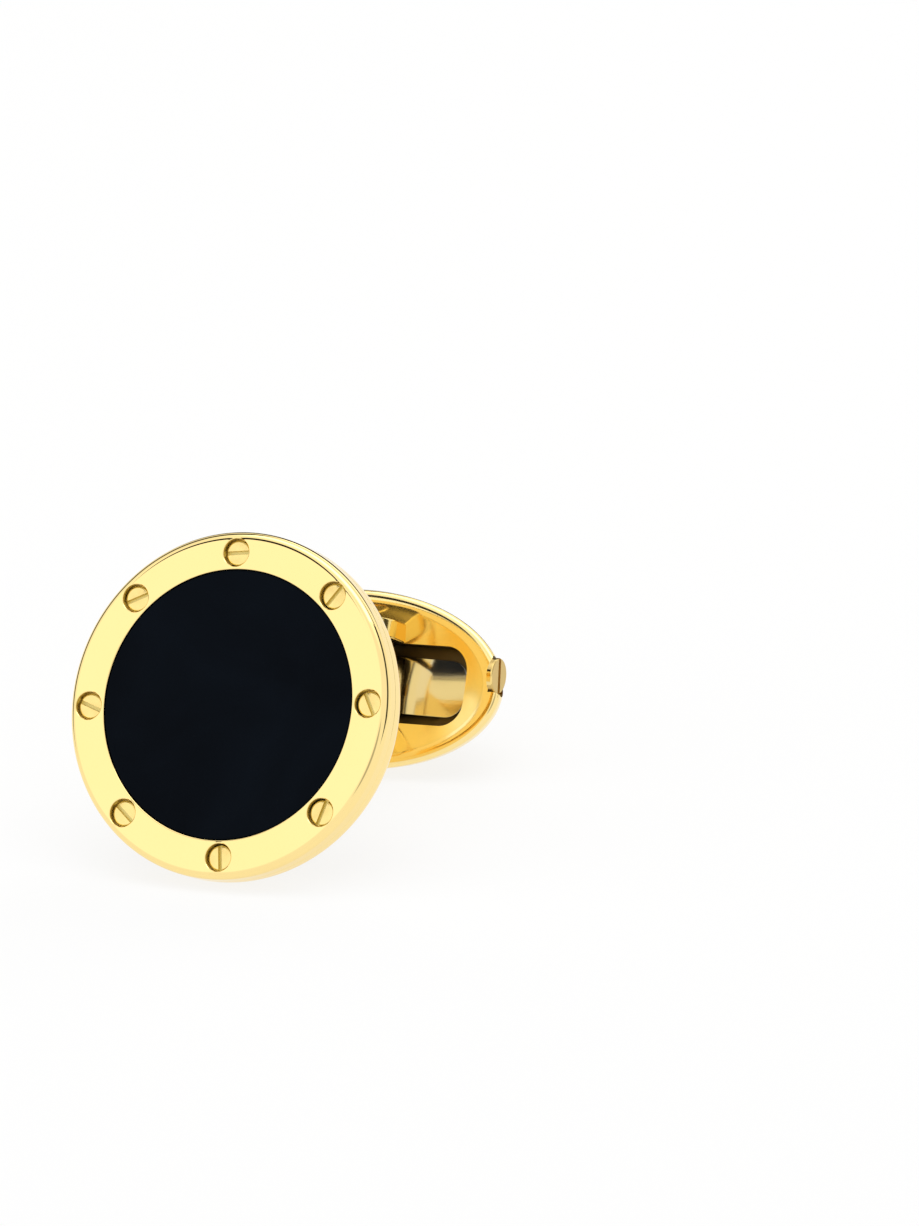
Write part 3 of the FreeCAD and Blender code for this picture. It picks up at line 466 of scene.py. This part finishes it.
def makeBezelScrew(place):
    bm = lathe([(0, screw["recess"]), (screw["radius"], screw["recess"]), (screw["radius"], screw["under"]),
                (screw["shank"], screw["under"]), (screw["shank"], screw["end"]), (0, screw["end"])],
               screw["steps"], closed=False)
    roundEdges(bm, ringEdges(bm, screw["radius"], screw["recess"]), *screw["bevel"])
    piece = newPiece(f"bezelScrew{place + 1}", bm)
    half, reach = screw["slotWidth"] / 2, meshing["toolReach"]
    carve(piece, block((-reach, -half, -reach), (reach, half, screw["recess"] + screw["slotDepth"])))
    # painted shade on the screw's bevel, sides and slot
    markShadedRecesses(piece, offScrewTop)
    lie = bench @ Matrix.Translation(screwSpot(place)) @ about("Z", screw["slotTurns"][place])
    finishPiece(piece, lie, screwGold, "head", "gold", f"bezel_screw_{place + 1}")


stone = {"front": 0.05, "boss": 6.59, "flange": 6.92, "back": 1.53, "bevel": (0.08, 4)}


def makeOnyxDisc():
    bm = lathe([(0, stone["front"]), (stone["boss"], stone["front"]), (stone["boss"], head["lip"]),
                (stone["flange"], head["lip"]), (stone["flange"], stone["back"]), (0, stone["back"])],
               head["steps"], closed=False)
    roundEdges(bm, ringEdges(bm, stone["boss"], stone["front"]), *stone["bevel"])
    finishPiece(newPiece("onyxDisc", bm), bench, blackOnyx, "head", "onyx", "onyx_disc")


def makeCaseBack():
    bm = lathe([(head["spigot"], head["floor"]), (head["pocket"], head["floor"]),
                (head["pocket"], head["bezelDepth"]), (head["radius"], head["bezelDepth"]),
                (head["radius"], head["backDepth"]), (head["spigot"], head["backDepth"])], head["steps"])
    roundEdges(bm, ringEdges(bm, head["radius"], head["backDepth"]), *head["backRound"])
    roundEdges(bm, ringEdges(bm, head["radius"], head["bezelDepth"]), *head["seamBevel"])
    finishPiece(newPiece("caseBack", bm), bench, polishedGold, "head", "gold", "case_back")


makeBezelRing()
for place in range(screw["count"]):
    makeBezelScrew(place)
makeOnyxDisc()
makeCaseBack()
frame["nodes"]["onyx_bed"].data.materials.clear()
frame["nodes"]["onyx_bed"].data.materials.append(settingCement)
print("head made")

# Post
collar = {
    "inside": 1.5, "outside": 2.3, "height": 0.45, "round": (0.25, 8), "bevel": (0.05, 3), "steps": 128,
}


def makeCollar():
    low, high = head["backDepth"], head["backDepth"] + collar["height"]
    bm = lathe([(collar["inside"], low), (collar["outside"], low), (collar["outside"], high),
                (collar["inside"], high)], collar["steps"])
    roundEdges(bm, ringEdges(bm, collar["outside"], high), *collar["round"])
    roundEdges(bm, ringEdges(bm, collar["inside"], high), *collar["bevel"])
    finishPiece(newPiece("postCollar", bm), bench, polishedGold, "head", "gold", "post_collar")


post = {
    "foot": 1.5, "footTop": 3.1, "footRound": (0.16, 6), "footSteps": 128,
    "thickness": 1.6, "width": 2.6, "corner": (0.6, 10), "bendEnd": 10.58, "bendSteps": 28,
    "knuckleHalf": 2.05, "knuckleWidth": 3.6, "knuckleRound": (1.6, 24), "knuckleBevel": (0.14, 5),
    "bore": 0.53, "boreSteps": 64,
}


def makeNeck():
    # a rounded bar that runs up from the foot, over by two equal bends, and up to the pin
    low, start, end = head["backDepth"], post["footTop"], post["bendEnd"]
    bend = 2 * math.atan(layout["crank"] / (end - start))
    radius = (end - start) / (2 * math.sin(bend))
    bm = rectangle(post["thickness"] / 2, post["width"] / 2)
    roundCorners(bm, bm.verts[:], *post["corner"])
    bmesh.ops.translate(bm, vec=(0, 0, low), verts=bm.verts)
    verts, edges = pullEdges(bm, bm.edges[:])
    bmesh.ops.translate(bm, vec=(0, 0, start - low), verts=verts)
    for middle, level, turn in ((-radius, start, bend), (radius - layout["crank"], end, -bend)):
        swept = bmesh.ops.spin(bm, geom=verts + edges, cent=(0, middle, level), axis=(1, 0, 0),
                               dvec=(0, 0, 0), angle=turn, steps=post["bendSteps"],
                               use_merge=False, use_duplicate=False)
        verts, edges = vertsAndEdges(swept["geom_last"])
    verts, edges = pullEdges(bm, edges)
    bmesh.ops.translate(bm, vec=(0, 0, layout["pivot"] - end), verts=verts)
    bmesh.ops.contextual_create(bm, geom=edges)
    bmesh.ops.recalc_face_normals(bm, faces=bm.faces)
    return bm


def makePost():
    foot = lathe([(0, head["floor"]), (head["spigot"], head["floor"]), (head["spigot"], head["backDepth"]),
                  (post["foot"], head["backDepth"]), (post["foot"], post["footTop"]), (0, post["footTop"])],
                 post["footSteps"], closed=False)
    roundEdges(foot, ringEdges(foot, post["foot"], post["footTop"]), *post["footRound"])
    piece = newPiece("swanNeckPost", foot)
    carve(piece, makeNeck(), "UNION")
    half, reach = post["knuckleWidth"] / 2, meshing["toolReach"]
    knuckle = roundPlate(post["knuckleHalf"], post["knuckleHalf"], post["knuckleRound"], -half, half)
    roundEdges(knuckle, sharpEdges(knuckle), *post["knuckleBevel"])
    alongPivot = Matrix.Translation(pivotOnBench) @ about("X", 90)
    carve(piece, knuckle, "UNION", alongPivot)
    carve(piece, rod(post["bore"], -reach, reach, post["boreSteps"]), lie=alongPivot)
    finishPiece(piece, bench, polishedGold, "head", "gold", "swan_neck_post")


makeCollar()
makePost()
print("post made")

# Toggle, about the middle of its rim plane, with the head towards -z
dish = {"halfLength": 7.4, "halfWidth": 3.95, "depth": 0.8, "soft": 0.1, "edgeSteps": 8}


def dishLevel(spot):
    # the hollow is part of a spheroid that runs softly into the rim plane
    radius = (dish["halfWidth"] ** 2 + dish["depth"] ** 2) / (2 * dish["depth"])
    share = (spot.x / dish["halfLength"]) ** 2 + (spot.y / dish["halfWidth"]) ** 2
    hollow = dish["depth"] - radius + math.sqrt(radius ** 2 - share * dish["halfWidth"] ** 2)
    return (hollow + math.hypot(hollow, dish["soft"])) / 2


toggle = {
    "halfLength": 7.87, "halfWidth": 4.5, "lip": 0.28, "lipInside": (7.45, 4.0), "lipSteps": 8,
    "seat": (6.95, 3.85), "seatDepth": 1.0, "ledge": 0.65, "cavity": 1.58, "well": 2.0, "wellLength": 4.7,
    "wellStep": 0.02, "insideShare": 0.95, "rings": 128, "meridians": 256,
}


def shellLoops(outer):
    # from the hull's edge over the lip, along the dish to the deck's seat, and down into the cavity:
    # half length, half width, level, and the share of the dish's own level that is added
    lipInside, seat = toggle["lipInside"], toggle["seat"]
    cavity = [size - toggle["ledge"] for size in seat]
    well = (toggle["wellLength"], cavity[1] - toggle["wellStep"])
    loops = []
    for place in range(1, toggle["lipSteps"] + 1):
        turn = math.pi / 2 * place / toggle["lipSteps"]
        spread = [inside + (out - inside) * math.cos(turn) for inside, out in zip(lipInside, outer)]
        loops.append((*spread, toggle["lip"] * (1 - math.sin(turn)), math.sin(turn)))
    for place in range(1, dish["edgeSteps"] + 1):
        share = place / dish["edgeSteps"]
        spread = [out + (inside - out) * share for inside, out in zip(seat, lipInside)]
        loops.append((*spread, 0, 1))
    return loops + [
        (*seat, toggle["seatDepth"], 0), (*cavity, toggle["seatDepth"], 0), (*cavity, toggle["cavity"], 0),
        (*well, toggle["cavity"], 0), (*well, toggle["well"], 0),
    ]


def insideHull(spot, way):
    share = (spot.x / toggle["halfLength"]) ** 2 + (spot.yz.length / toggle["halfWidth"]) ** 2
    return spot.z > toggle["lip"] and share < toggle["insideShare"]


def makeShell():
    bm = bmesh.new()
    bmesh.ops.create_uvsphere(bm, u_segments=toggle["meridians"], v_segments=toggle["rings"], radius=1)
    swell = Matrix.Diagonal((toggle["halfLength"], toggle["halfWidth"], toggle["halfWidth"], 1))
    bmesh.ops.transform(bm, matrix=swell @ about("Y", 90), verts=bm.verts)
    cutPlane(bm, (0, 0, toggle["lip"]), (0, 0, -1), dropOuter=True)
    narrowing = math.sqrt(1 - (toggle["lip"] / toggle["halfWidth"]) ** 2)
    before = (toggle["halfLength"] * narrowing, toggle["halfWidth"] * narrowing)
    edges = [edge for edge in bm.edges if edge.is_boundary]
    for length, width, level, dishShare in shellLoops(before):
        verts, edges = pullEdges(bm, edges)
        bmesh.ops.scale(bm, vec=(length / before[0], width / before[1], 1), verts=verts)
        for vert in verts:
            vert.co.z = level + dishShare * dishLevel(vert.co)
        before = (length, width)
    bmesh.ops.contextual_create(bm, geom=edges)
    bmesh.ops.remove_doubles(bm, verts=bm.verts, dist=meshing["weld"])
    bmesh.ops.recalc_face_normals(bm, faces=bm.faces)
    shell = newPiece("toggleShell", bm)
    for side in (-1, 1):
        tool = rod(endScrew["seatRadius"], 0, meshing["toolReach"], endScrew["steps"])
        carve(shell, tool, lie=atTip(side))
    # painted shade: the inside of the hull is nearly black
    markShadedRecesses(shell, insideHull)
    finishPiece(shell, toggleSeat, shellGold, "toggle", "gold", "toggle_shell")


lug = {
    "inside": 2.0, "outside": 2.95, "halfLength": 2.25, "top": -2.25, "footGap": 0.05,
    "round": (1.6, 20), "bevel": (0.1, 4),
}


def makeLug(side):
    # an upright plate that rises from the deck towards the head, with round corners over the pin
    foot = deck["bottom"] - lug["footGap"]
    bm = rectangle(lug["halfLength"], (foot - lug["top"]) / 2)
    bmesh.ops.translate(bm, vec=(0, (foot + lug["top"]) / 2, lug["inside"]), verts=bm.verts)
    roundCorners(bm, [vert for vert in bm.verts if vert.co.y < 0], *lug["round"])
    thicken(bm, lug["outside"] - lug["inside"])
    stand = Matrix(((1, 0, 0), (0, 0, side), (0, 1, 0))).to_4x4()
    bmesh.ops.transform(bm, matrix=stand, verts=bm.verts)
    bmesh.ops.recalc_face_normals(bm, faces=bm.faces)
    offFoot = foot - meshing["sameSpot"]
    free = [edge for edge in sharpEdges(bm) if min(vert.co.z for vert in edge.verts) < offFoot]
    roundEdges(bm, free, *lug["bevel"])
    return bm


deck = {
    "halfLength": 6.945, "halfWidth": 3.845, "bottom": 1.0, "rings": 40, "steps": 256,
    "slotHalfLength": 5.9, "slotHalfWidth": 2.0, "slotRound": (1.2, 20), "slotTop": 0.05, "slotReach": 3,
}


def inSlot(spot, way):
    slack = recessTest["slack"]
    near = abs(spot.x) < deck["slotHalfLength"] + slack and abs(spot.y) < deck["slotHalfWidth"] + slack
    return near and spot.z > deck["slotTop"] and abs(way.z) < recessTest["wall"]


def makeDeck():
    bm = bmesh.new()
    spoke = bm.edges.new((bm.verts.new((0, 0, 0)), bm.verts.new((1, 0, 0))))
    bmesh.ops.subdivide_edges(bm, edges=[spoke], cuts=deck["rings"])
    spinRound(bm, bm.verts[:] + bm.edges[:], deck["steps"])
    bmesh.ops.scale(bm, vec=(deck["halfLength"], deck["halfWidth"], 1), verts=bm.verts)
    for vert in bm.verts:
        vert.co.z = dishLevel(vert.co)
    verts, edges = pullEdges(bm, [edge for edge in bm.edges if edge.is_boundary])
    for vert in verts:
        vert.co.z = deck["bottom"]
    bmesh.ops.contextual_create(bm, geom=edges)
    bmesh.ops.recalc_face_normals(bm, faces=bm.faces)
    piece = newPiece("toggleDeck", bm)
    for side in (-1, 1):
        carve(piece, makeLug(side), "UNION")
    slot = roundPlate(deck["slotHalfLength"], deck["slotHalfWidth"], deck["slotRound"],
                      -deck["slotReach"], deck["slotReach"])
    carve(piece, slot)
    reach = meshing["toolReach"]
    carve(piece, rod(pin["hole"], -reach, reach, pin["steps"]), lie=alongPin)
    # painted shade: the slot's walls are nearly black
    markShadedRecesses(piece, inSlot)
    finishPiece(piece, toggleSeat, satinGoldWithReflection, "toggle", "gold", "toggle_deck")


spring = {
    "halfLength": 5.5, "halfWidth": 1.45, "corner": (1.0, 14), "top": 1.28, "bottom": 1.58,
    "bevel": (0.06, 3), "crown": 0.15, "ridge": 0.6, "crownSteps": 16,
}


def makeSpring():
    # its face is highest along the ridge and falls away to the long edges
    halfWidth, top, bottom = spring["halfWidth"], spring["top"], spring["bottom"]
    bm = roundPlate(spring["halfLength"], halfWidth, spring["corner"], top, bottom)
    for place in range(1, spring["crownSteps"]):
        across = halfWidth * (2 * place / spring["crownSteps"] - 1)
        cutPlane(bm, (0, across, 0), (0, 1, 0))
    for vert in bm.verts:
        if vert.co.z < (top + bottom) / 2:
            share = (vert.co.y - spring["ridge"]) / (halfWidth + spring["ridge"])
            vert.co.z += spring["crown"] * share ** 2
    roundEdges(bm, sharpEdges(bm), *spring["bevel"])
    piece = newPiece("leafSpring", bm)
    finishPiece(piece, toggleSeat, springSteel, "toggle", "spring_steel", "leaf_spring")


pin = {"radius": 0.5, "half": 2.95, "bevel": (0.1, 3), "hole": 0.515, "steps": 64}
alongPin = Matrix.Translation((0, 0, layout["pivot"] - layout["toggleRim"])) @ about("X", 90)


def makePin():
    bm = rod(pin["radius"], -pin["half"], pin["half"], pin["steps"])
    roundEdges(bm, sharpEdges(bm), *pin["bevel"])
    finishPiece(newPiece("pivotPin", bm), toggleSeat @ alongPin, screwGold, "toggle", "gold", "pivot_pin")


endScrew = {
    "seat": 7.25, "seatRadius": 1.02, "drop": 0.58, "lift": 0.75, "radius": 0.9, "depth": 0.3,
    "shank": 0.22, "length": 0.9, "bevel": (0.1, 5), "slotWidth": 0.26, "slotDepth": 0.18,
    "slotTurn": 102, "dullShadeShare": 0.9, "steps": 96,
}


def atTip(side):
    spot = (side * endScrew["seat"], -endScrew["lift"], endScrew["drop"])
    return Matrix.Translation(spot) @ about("Y", side * 90)


def onTipTop(spot, way):
    # the flat top, and the slot as far as the bevel: rougher, and darkened with painted shade
    offMiddle = max(abs(spot.x), abs(spot.y))
    return way.z > recessTest["flat"] or offMiddle < endScrew["radius"] * endScrew["dullShadeShare"]


def makeEndScrew(name, node, side):
    bm = lathe([(0, -endScrew["length"]), (endScrew["shank"], -endScrew["length"]), (endScrew["shank"], 0),
                (endScrew["radius"], 0), (endScrew["radius"], endScrew["depth"]), (0, endScrew["depth"])],
               endScrew["steps"], closed=False)
    roundEdges(bm, ringEdges(bm, endScrew["radius"], endScrew["depth"]), *endScrew["bevel"])
    piece = newPiece(name, bm)
    half, reach = endScrew["slotWidth"] / 2, meshing["toolReach"]
    carve(piece, block((-reach, -half, endScrew["depth"] - endScrew["slotDepth"]), (reach, half, reach)))
    # painted shade over the screw's top and slot
    markShadedRecesses(piece, onTipTop)
    lie = toggleSeat @ atTip(side) @ about("Z", endScrew["slotTurn"])
    finishPiece(piece, lie, tipGold, "toggle", "gold", node)


makeShell()
makeDeck()
makeSpring()
makePin()
makeEndScrew("endScrewLeft", "end_screw_left", -1)
makeEndScrew("endScrewRight", "end_screw_right", 1)
print("toggle made")

# Camera: ways are shares of right, up and out of the face, sizes are in millimetres
view = {
    "towards": (0.418, -0.115, 0.901), "up": (-0.072, 0.984, 0.159), "distance": 450,
    "aimRight": 11.23, "aimUp": 4.41, "frameHeight": 59.2, "sensor": 36, "clipStart": 10,
}


def faceWay(shares):
    right, up, out = shares
    return (rightWay * right + upWay * up + outWay * out).normalized()


def makeCamera():
    lens = bpy.data.cameras.new("studioCamera")
    lens.sensor_fit = "AUTO"
    lens.sensor_width = view["sensor"]
    lens.lens = view["sensor"] * view["distance"] / view["frameHeight"]
    lens.clip_start = view["clipStart"] * millimetre
    camera = bpy.data.objects.new("studioCamera", lens)
    back = faceWay(view["towards"])
    right = faceWay(view["up"]).cross(back).normalized()
    up = back.cross(right)
    faceMiddle = bench @ Vector((0, 0, 0))
    aim = faceMiddle + (right * view["aimRight"] + up * view["aimUp"]) * millimetre
    stand = Matrix.Translation(aim + back * view["distance"] * millimetre)
    camera.matrix_world = stand @ Matrix((right, up, back)).transposed().to_4x4()
    scene.collection.objects.link(camera)
    scene.camera = camera


makeCamera()
print("camera set")

# Stage, in metres
studio = {"floorSize": 3.0, "floorColour": (0.92, 0.92, 0.91), "floorRoughness": 0.9, "floorWhite": 0.82}


def makeFloor():
    bm = bmesh.new()
    bmesh.ops.create_grid(bm, x_segments=1, y_segments=1, size=studio["floorSize"] / 2)
    floor = newPiece("studioFloor", bm)
    material, tree, shader = newMaterial("paleFloor")
    shader.inputs["Base Color"].default_value = (*studio["floorColour"], 1)
    shader.inputs["Roughness"].default_value = studio["floorRoughness"]
    shader.inputs["Specular IOR Level"].default_value = 0
    seen = tree.nodes.new("ShaderNodeLightPath")
    rays = seen.outputs["Is Camera Ray"]
    for kind in ("Is Glossy Ray", "Is Transmission Ray"):
        either = tree.nodes.new("ShaderNodeMath")
        either.operation = "MAXIMUM"
        tree.links.new(rays, either.inputs[0])
        tree.links.new(seen.outputs[kind], either.inputs[1])
        rays = either.outputs["Value"]
    share = tree.nodes.new("ShaderNodeMath")
    share.operation = "MULTIPLY"
    share.inputs[1].default_value = studio["floorWhite"]
    white = tree.nodes.new("ShaderNodeEmission")
    mix = tree.nodes.new("ShaderNodeMixShader")
    tree.links.new(rays, share.inputs[0])
    tree.links.new(share.outputs["Value"], mix.inputs["Fac"])
    tree.links.new(shader.outputs["BSDF"], mix.inputs[1])
    tree.links.new(white.outputs["Emission"], mix.inputs[2])
    tree.links.new(mix.outputs["Shader"], tree.nodes["Material Output"].inputs["Surface"])
    floor.data.materials.append(material)


# a white tent round the object: each panel or dark card lies along a way on the face, and fades in
# from the first cosine to the second; the seam runs all round in the plane of the face
tent = {
    "white": 1.0, "background": 1.0,
    "panels": [
        {"way": (-0.418, 0.115, 0.901), "cosines": (0.80, 0.95), "strength": 1.2},
        {"way": (0.1, 0.95, 0.1), "cosines": (0.6, 0.9), "strength": 1.45},
        {"way": (0.418, -0.115, 0.901), "cosines": (0.972, 0.99), "strength": 0.5},
        {"way": (-0.418, 0.115, -0.901), "cosines": (0.45, 0.85), "strength": 0.84},
        {"way": (-0.418, 0.34, 0.84), "cosines": (0.978, 0.988), "strength": 0.01},
        {"way": (-0.212, 0.61, -0.764), "cosines": (0.86, 0.92), "strength": 0.03},
    ],
    "seam": {"way": (0, 0, 1), "cosines": (0.26, 0.14), "strength": 0.05},
}


def makeTent():
    world = bpy.data.worlds.new("whiteTent")
    world.use_nodes = True
    scene.world = world
    tree = world.node_tree
    sky = tree.nodes["Background"]
    sky.inputs["Color"].default_value = (1, 1, 1, 1)
    place = tree.nodes.new("ShaderNodeTexCoord")
    white = tree.nodes.new("ShaderNodeValue")
    white.outputs["Value"].default_value = tent["white"]
    strength = white.outputs["Value"]
    covers = []
    for panel in [*tent["panels"], tent["seam"]]:
        facing = tree.nodes.new("ShaderNodeVectorMath")
        facing.operation = "DOT_PRODUCT"
        facing.inputs[1].default_value = faceWay(panel["way"])
        cover = tree.nodes.new("ShaderNodeMapRange")
        cover.interpolation_type = "SMOOTHSTEP"
        fadeStart, fadeEnd = panel["cosines"]
        cover.inputs["From Min"].default_value = fadeStart
        cover.inputs["From Max"].default_value = fadeEnd
        tree.links.new(place.outputs["Generated"], facing.inputs[0])
        cosine = facing.outputs["Value"]
        if panel is tent["seam"]:  # on both sides of its plane
            either = tree.nodes.new("ShaderNodeMath")
            either.operation = "ABSOLUTE"
            tree.links.new(cosine, either.inputs[0])
            cosine = either.outputs["Value"]
        tree.links.new(cosine, cover.inputs["Value"])
        covers.append((cover.outputs["Result"], panel["strength"]))
    seen = tree.nodes.new("ShaderNodeLightPath")
    covers.append((seen.outputs["Is Camera Ray"], tent["background"]))
    for cover, level in covers:
        blend = tree.nodes.new("ShaderNodeMix")
        blend.inputs["B"].default_value = level
        tree.links.new(cover, blend.inputs["Factor"])
        tree.links.new(strength, blend.inputs["A"])
        strength = blend.outputs["Result"]
    tree.links.new(strength, sky.inputs["Strength"])


softbox = {"name": "overheadSoftbox", "place": (0.05, 0.12, 0.42), "size": (0.5, 0.4), "watts": 0.6}


def makeSoftbox():
    lamp = bpy.data.lights.new(softbox["name"], "AREA")
    lamp.shape = "RECTANGLE"
    lamp.size, lamp.size_y = softbox["size"]
    lamp.energy = softbox["watts"]
    light = bpy.data.objects.new(softbox["name"], lamp)
    away = Vector(softbox["place"])
    light.matrix_world = Matrix.Translation(away) @ away.to_track_quat("Z", "Y").to_matrix().to_4x4()
    scene.collection.objects.link(light)


makeFloor()
makeTent()
makeSoftbox()
scene.view_settings.view_transform = "Standard"
print("stage set")
